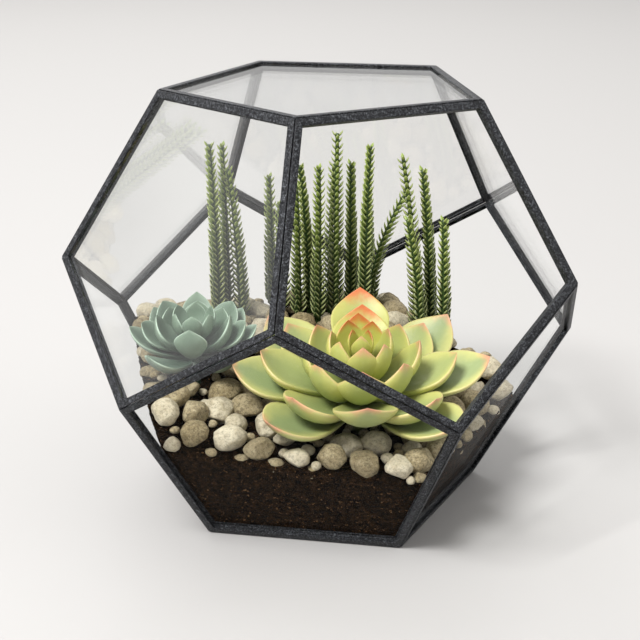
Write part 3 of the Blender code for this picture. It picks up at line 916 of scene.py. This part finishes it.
def make_stem(number, root, tip, turn, finish, material):
    """A slim stem clothed in pairs of pointed scale leaves, each pair turned a quarter."""
    places, faces = leaf_blank(*SCALE_BLANK)
    along = [place[0] for place in places]
    across = [abs(place[1]) for place in places]
    rng = random.Random(number)
    piece = Piece(f"leafy_stem_{number:02d}", ("along", "across", "rank"))
    start = stem_axis(root, tip, 0)
    count = round((stem_axis(root, tip, 1) - start).length / finish.pitch)
    low, high = SCALE_REACH
    foot = Vector((start.x, start.y, soil_height(*start.xy) - FOOT_DEPTH))
    rings = [(foot, Matrix.Identity(4), FOOT_RADIUS)]
    for k in range(count + 1):
        share = k / count
        here = stem_axis(root, tip, share)
        ahead = stem_axis(root, tip, share + AXIS_STEP) - stem_axis(root, tip, share - AXIS_STEP)
        lean = Vector((0, 0, 1)).rotation_difference(ahead.normalized()).to_matrix().to_4x4()
        reach = SCALE_GROWTH * (low + (high - low) * share ** SCALE_TAPER)
        rings.append((here, lean, CORE_SHARE * reach))
        base = scale_points(places, reach)
        for half in range(2):
            sway = rng.uniform(-SCALE_TURN, SCALE_TURN)
            spin = turn + math.pi / 2 * (k % 2) + math.pi * half + sway
            place = Matrix.Translation(here) @ lean @ Matrix.Rotation(spin, 4, "Z")
            size = rng.uniform(*SCALE_SPREAD)
            piece.add([place @ (point * size) for point in base], faces,
                      {"along": along, "across": across, "rank": share})
    piece.add(*tube(rings, CORE_SIDES), {"along": 0.0, "across": 0.0, "rank": CORE_RANK})
    piece.build(material, [f"stem_{number:02d}"])


# The stage

def make_stage(stage):
    """A pale floor, soft lights and the camera."""
    deselect_all()
    bpy.ops.mesh.primitive_plane_add(size=FLOOR_SIZE, location=(0, 0, 0))
    floor = bpy.context.object
    floor.name = "floor"
    paint = Paint("floor")
    floor.data.materials.append(paint.principled(
        {"Base Color": (*stage.floor, 1.0), "Roughness": 0.6}))

    bpy.context.scene.view_settings.view_transform = "Standard"
    world = bpy.data.worlds.new("studio")
    world.use_nodes = True
    background = world.node_tree.nodes["Background"]
    background.inputs["Color"].default_value = (*stage.air, 1.0)
    background.inputs["Strength"].default_value = stage.air_strength
    bpy.context.scene.world = world

    for name, place in LIGHTS.items():
        light = bpy.data.lights.new(name, "AREA")
        light.size = LIGHT_SIZE
        light.energy = getattr(stage, f"{name}_power")
        obj = bpy.data.objects.new(name, light)
        obj.location = place
        aim = LIGHT_AIM - obj.location
        obj.rotation_euler = aim.to_track_quat("-Z", "Y").to_euler()
        bpy.context.scene.collection.objects.link(obj)

    camera = bpy.data.cameras.new("camera")
    camera.sensor_width = SENSOR_WIDTH
    camera.lens = stage.lens
    obj = bpy.data.objects.new("camera", camera)
    obj.location = stage.camera
    aim = Vector(stage.aim)
    obj.rotation_euler = aim.to_track_quat("-Z", "Y").to_euler()
    bpy.context.scene.collection.objects.link(obj)
    bpy.context.scene.camera = obj


# What a user can change

def colour_property(name, description, default):
    """A colour with a picker."""
    return FloatVectorProperty(
        name=name, description=description, default=default, subtype="COLOR",
        size=3, min=0, max=1)


def share_property(name, description, default):
    """A share from 0 to 1."""
    return FloatProperty(
        name=name, description=description, default=default, subtype="FACTOR", min=0, max=1)


def length_property(name, description, default):
    """A small length."""
    return FloatProperty(
        name=name, description=description, default=default, unit="LENGTH", precision=4)


class FLORARIUM_PG_holder(bpy.types.PropertyGroup):
    """Finish of the strips and panes."""

    dark: colour_property("Dark", "Darkest tone of the patina", (0.004, 0.004, 0.005))
    light: colour_property("Light", "Lightest tone of the patina", (0.018, 0.019, 0.022))
    speck: colour_property("Speck", "Rubbed specks of bare metal", (0.27, 0.285, 0.31))
    tint: colour_property("Glass", "What the glass lets through", (0.987, 0.990, 0.989))
    upper_gloss: share_property("Upper gloss", "Gloss of the upper panes, seen straight on", 0.06)
    lower_gloss: share_property("Lower gloss", "Gloss of the lower panes, seen straight on", 0.0)
    upper_glaze: share_property("Upper glaze", "What the upper panes gain, seen at a slant", 0.8)
    lower_glaze: share_property("Lower glaze", "What the lower panes gain, seen at a slant", 0.12)


class FLORARIUM_PG_soil(bpy.types.PropertyGroup):
    """Finish of the soil."""

    dark: colour_property("Dark", "Damp hollows", (0.005, 0.0028, 0.0016))
    light: colour_property("Light", "Drier clumps", (0.072, 0.036, 0.015))
    crumb: colour_property("Crumbs", "Bits of bark", (0.36, 0.18, 0.07))
    lumps: length_property("Lumps", "Height of the soil's lumps", 0.45 * MM)


class FLORARIUM_PG_pebbles(bpy.types.PropertyGroup):
    """Finish of the pebbles."""

    cream: colour_property("Cream", "Pale pebbles", (0.73, 0.665, 0.505))
    cream_shade: colour_property("Cream shade", "Clouds in pale pebbles", (0.56, 0.485, 0.335))
    olive: colour_property("Olive", "Brown pebbles", (0.39, 0.315, 0.17))
    olive_shade: colour_property("Olive shade", "Clouds in brown pebbles", (0.265, 0.20, 0.092))
    cream_speck: colour_property("Cream specks", "Specks in pale pebbles", (0.27, 0.235, 0.165))
    olive_speck: colour_property("Olive specks", "Specks in brown pebbles", (0.095, 0.070, 0.035))
    olive_share: share_property("Olive share", "Share of brown pebbles", 0.6)
    filler_large: length_property("Largest filler", "Radius of the largest small pebble", 6.2 * MM)
    filler_small: length_property("Smallest filler", "Radius of the smallest one", 3.0 * MM)
    filler_tries: IntProperty(
        name="Tries", description="Places tried for small pebbles", default=16000)
    filler_seed: IntProperty(name="Seed", description="Seed of the small pebbles", default=5)


class FLORARIUM_PG_large_rosette(bpy.types.PropertyGroup):
    """Colours of the large rosette."""

    middle: colour_property("Middle", "Middle of a leaf", (0.28, 0.34, 0.15))
    margin: colour_property("Margin", "Towards the edge of a leaf", (0.475, 0.475, 0.170))
    heart: colour_property("Heart", "Inner leaves", (0.53, 0.53, 0.115))
    # Root is painted shade: the colour each leaf darkens to towards its root.
    root: colour_property("Root", "Towards the root of a leaf", (0.11, 0.15, 0.03))
    bloom: colour_property("Bloom", "Waxy bloom", (0.56, 0.575, 0.37))
    blush: colour_property("Blush", "Tips of the back leaves", (0.66, 0.13, 0.035))
    side_blush: colour_property("Side blush", "Tips of the other leaves", (0.66, 0.25, 0.17))
    blush_share: share_property("Blush share", "Strength of the blush", 0.9)
    rim: colour_property("Rim", "Thin edge of a leaf", (0.72, 0.42, 0.25))
    rim_share: share_property("Rim share", "Strength of the thin edge", 0.3)


class FLORARIUM_PG_small_rosette(bpy.types.PropertyGroup):
    """Colours of the small rosette."""

    middle: colour_property("Middle", "Middle of a leaf", (0.135, 0.195, 0.14))
    margin: colour_property("Margin", "Towards the edge of a leaf", (0.25, 0.33, 0.25))
    heart: colour_property("Heart", "Inner leaves", (0.15, 0.225, 0.15))
    # Root is painted shade: the colour each leaf darkens to towards its root.
    root: colour_property("Root", "Towards the root of a leaf", (0.022, 0.050, 0.030))
    bloom: colour_property("Bloom", "Waxy bloom", (0.30, 0.42, 0.32))
    blush: colour_property("Blush", "Tips of the back leaves", (0.40, 0.52, 0.38))
    side_blush: colour_property("Side blush", "Tips of the other leaves", (0.40, 0.52, 0.38))
    blush_share: share_property("Blush share", "Strength of the blush", 0.3)
    rim: colour_property("Rim", "Thin edge of a leaf", (0.52, 0.66, 0.52))
    rim_share: share_property("Rim share", "Strength of the thin edge", 0.8)


class FLORARIUM_PG_stems(bpy.types.PropertyGroup):
    """Colours and spacing of the slim stems."""

    # Low and high blend up each stem: the dark low end is painted shade near the bed.
    low: colour_property("Low", "Leaves near the bed", (0.030, 0.060, 0.012))
    high: colour_property("High", "Leaves near the tip", (0.235, 0.315, 0.055))
    edge: colour_property("Edge", "Edges of the leaves", (0.54, 0.57, 0.24))
    pitch: length_property("Pitch", "Distance from one pair of leaves to the next", 1.75 * MM)


class FLORARIUM_PG_stage(bpy.types.PropertyGroup):
    """Floor, lights and camera."""

    floor: colour_property("Floor", "Colour of the floor", (0.43, 0.42, 0.41))
    air: colour_property("Air", "Colour of the room's light", (1.0, 0.99, 0.98))
    air_strength: FloatProperty(
        name="Air strength", description="Strength of the room's light", default=0.72)
    key_power: FloatProperty(
        name="Key", description="Power of the main light", default=365, unit="POWER")
    fill_power: FloatProperty(
        name="Fill", description="Power of the light from the right", default=10, unit="POWER")
    rim_power: FloatProperty(
        name="Rim", description="Power of the light from behind", default=22, unit="POWER")
    lens: FloatProperty(
        name="Lens", description="Focal length", default=76.86, unit="CAMERA")
    camera: FloatVectorProperty(
        name="Camera", description="Where the camera stands", default=(-0.30857, -0.61772, 0.34480),
        unit="LENGTH", precision=5)
    aim: FloatVectorProperty(
        name="Aim", description="Direction that the camera looks in",
        default=(0.41656, 0.84355, -0.33898), precision=5)


class FLORARIUM_PG_settings(bpy.types.PropertyGroup):
    """All settings of the florarium."""

    holder: PointerProperty(type=FLORARIUM_PG_holder)
    soil: PointerProperty(type=FLORARIUM_PG_soil)
    pebbles: PointerProperty(type=FLORARIUM_PG_pebbles)
    large_rosette: PointerProperty(type=FLORARIUM_PG_large_rosette)
    small_rosette: PointerProperty(type=FLORARIUM_PG_small_rosette)
    stems: PointerProperty(type=FLORARIUM_PG_stems)
    stage: PointerProperty(type=FLORARIUM_PG_stage)


class FLORARIUM_OT_holder(bpy.types.Operator):
    """Finish the metal strips and the glass panes"""

    bl_idname = "florarium.holder"
    bl_label = "Finish the holder"

    def execute(self, context):
        finish = context.scene.florarium.holder
        patina = patina_material(finish)
        upper = glass_material("upper glass", finish, finish.upper_gloss, finish.upper_glaze)
        lower = glass_material("lower glass", finish, finish.lower_gloss, finish.lower_glaze)
        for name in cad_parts:
            if name.startswith("frame_"):
                make_strip(name, patina)
            if name.startswith("glass_"):
                below = name.startswith(("glass_lower", "glass_bottom"))
                node_material(name, lower if below else upper)
        return {"FINISHED"}


class FLORARIUM_OT_soil(bpy.types.Operator):
    """Make the crumbly soil"""

    bl_idname = "florarium.soil"
    bl_label = "Make the soil"

    def execute(self, context):
        make_soil(context.scene.florarium.soil)
        return {"FINISHED"}


class FLORARIUM_OT_pebbles(bpy.types.Operator):
    """Lay the bed of pebbles"""

    bl_idname = "florarium.pebbles"
    bl_label = "Lay the pebbles"

    def execute(self, context):
        make_pebbles(context.scene.florarium.pebbles)
        return {"FINISHED"}


class FLORARIUM_OT_large_rosette(bpy.types.Operator):
    """Plant the large yellow-green rosette"""

    bl_idname = "florarium.large_rosette"
    bl_label = "Plant the large rosette"

    def execute(self, context):
        finish = context.scene.florarium.large_rosette
        material = leaf_material("yellow-green leaf", finish, roughness=0.42)
        make_rosette("rosette_large", "large_rosette", ROSETTES["rosette_large"], material)
        return {"FINISHED"}


class FLORARIUM_OT_small_rosette(bpy.types.Operator):
    """Plant the small grey-green rosette"""

    bl_idname = "florarium.small_rosette"
    bl_label = "Plant the small rosette"

    def execute(self, context):
        finish = context.scene.florarium.small_rosette
        material = leaf_material("grey-green leaf", finish, roughness=0.5)
        make_rosette("rosette_small", "small_rosette", ROSETTES["rosette_small"], material)
        return {"FINISHED"}


class FLORARIUM_OT_stems(bpy.types.Operator):
    """Plant the slim leafy stems"""

    bl_idname = "florarium.stems"
    bl_label = "Plant the stems"

    def execute(self, context):
        finish = context.scene.florarium.stems
        material = scale_material(finish)
        rng = random.Random(STEM_SEED)
        for k, (root, tip) in enumerate(STEMS):
            make_stem(k + 1, root, tip, rng.uniform(0, math.tau / 4), finish, material)
        return {"FINISHED"}


class FLORARIUM_OT_stage(bpy.types.Operator):
    """Set up the floor, the lights and the camera"""

    bl_idname = "florarium.stage"
    bl_label = "Set the stage"

    def execute(self, context):
        make_stage(context.scene.florarium.stage)
        return {"FINISHED"}


class FLORARIUM_PT_panel(bpy.types.Panel):
    """Steps and settings of the florarium"""

    bl_idname = "FLORARIUM_PT_panel"
    bl_label = "Florarium"
    bl_space_type = "VIEW_3D"
    bl_region_type = "UI"
    bl_category = "Florarium"

    def draw(self, context):
        settings = context.scene.florarium
        for name, step in STEPS.items():
            box = self.layout.box()
            box.operator(step.bl_idname)
            group = getattr(settings, name)
            for key in group.bl_rna.properties.keys():
                if key not in ("rna_type", "name"):
                    box.prop(group, key)


STEPS = {
    "holder": FLORARIUM_OT_holder,
    "soil": FLORARIUM_OT_soil,
    "pebbles": FLORARIUM_OT_pebbles,
    "large_rosette": FLORARIUM_OT_large_rosette,
    "small_rosette": FLORARIUM_OT_small_rosette,
    "stems": FLORARIUM_OT_stems,
    "stage": FLORARIUM_OT_stage,
}
GROUPS = (
    FLORARIUM_PG_holder,
    FLORARIUM_PG_soil,
    FLORARIUM_PG_pebbles,
    FLORARIUM_PG_large_rosette,
    FLORARIUM_PG_small_rosette,
    FLORARIUM_PG_stems,
    FLORARIUM_PG_stage,
    FLORARIUM_PG_settings,
)
CLASSES = (*GROUPS, *STEPS.values(), FLORARIUM_PT_panel)


def register():
    """Register the classes and the scene's settings."""
    for cls in CLASSES:
        bpy.utils.register_class(cls)
    bpy.types.Scene.florarium = PointerProperty(type=FLORARIUM_PG_settings)


def unregister():
    """Remove what register added."""
    del bpy.types.Scene.florarium
    for cls in reversed(CLASSES):
        bpy.utils.unregister_class(cls)


def main():
    """Dress the frame."""
    register()
    bpy.ops.florarium.stage()
    bpy.ops.florarium.holder()
    bpy.ops.florarium.soil()
    bpy.ops.florarium.pebbles()
    bpy.ops.florarium.large_rosette()
    bpy.ops.florarium.small_rosette()
    bpy.ops.florarium.stems()


if __name__ == "__main__":
    main()
